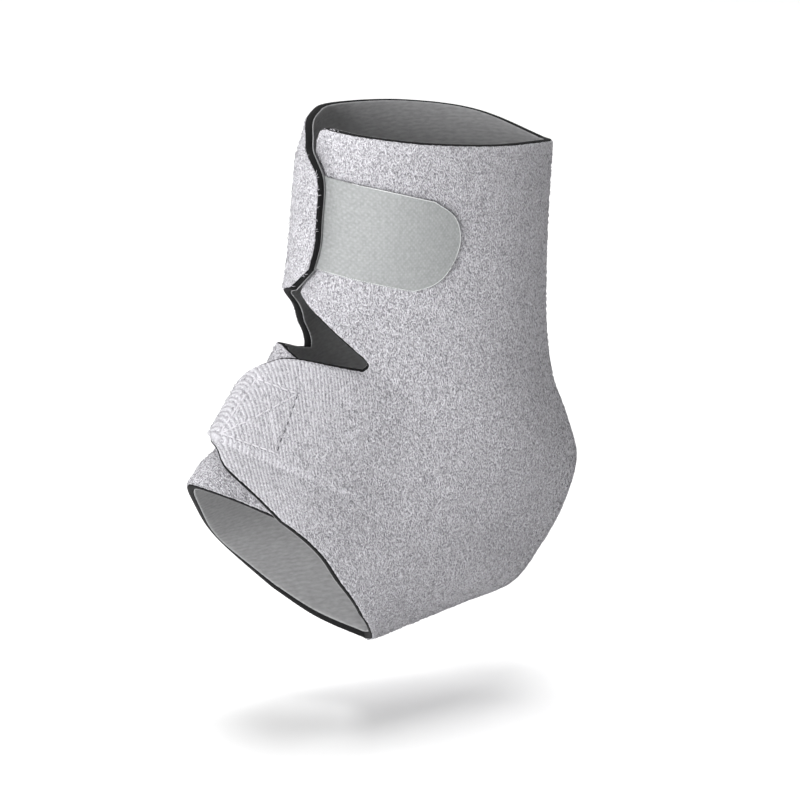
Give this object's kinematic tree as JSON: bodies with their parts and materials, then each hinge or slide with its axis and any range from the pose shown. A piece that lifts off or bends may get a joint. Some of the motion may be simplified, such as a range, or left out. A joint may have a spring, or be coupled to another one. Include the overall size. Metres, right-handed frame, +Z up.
{
  "type": "ankle brace",
  "caption": "Soft padded knit ankle wrap with a closed heel, open toes, a notch at the instep, a hook tab on the leg and an overlapping foot flap.",
  "frame": {"origin": "middle of the ankle, inside the hollow between the ankle bones", "axes": "+Z up the leg, -Y towards the toes, +X towards the wearer's left side of a left foot; the back seam lies in X = 0"},
  "size_m": [0.0736, 0.1673, 0.1902],
  "materials": {
    "loop_knit": "light grey brushed loop knit on black foam, matt",
    "lining_knit": "mid grey plain knit, matt",
    "hook_tab": "pale grey woven tab, smooth, slight sheen",
    "hook_patch": "grey hook patch, matt"
  },
  "bodies": {
    "root": {"left_panel": "loop_knit", "right_panel": "loop_knit", "left_lining": "lining_knit", "right_lining": "lining_knit", "leg_tab": "hook_tab", "foot_hook_patch": "hook_patch"}
  },
  "joints": []
}
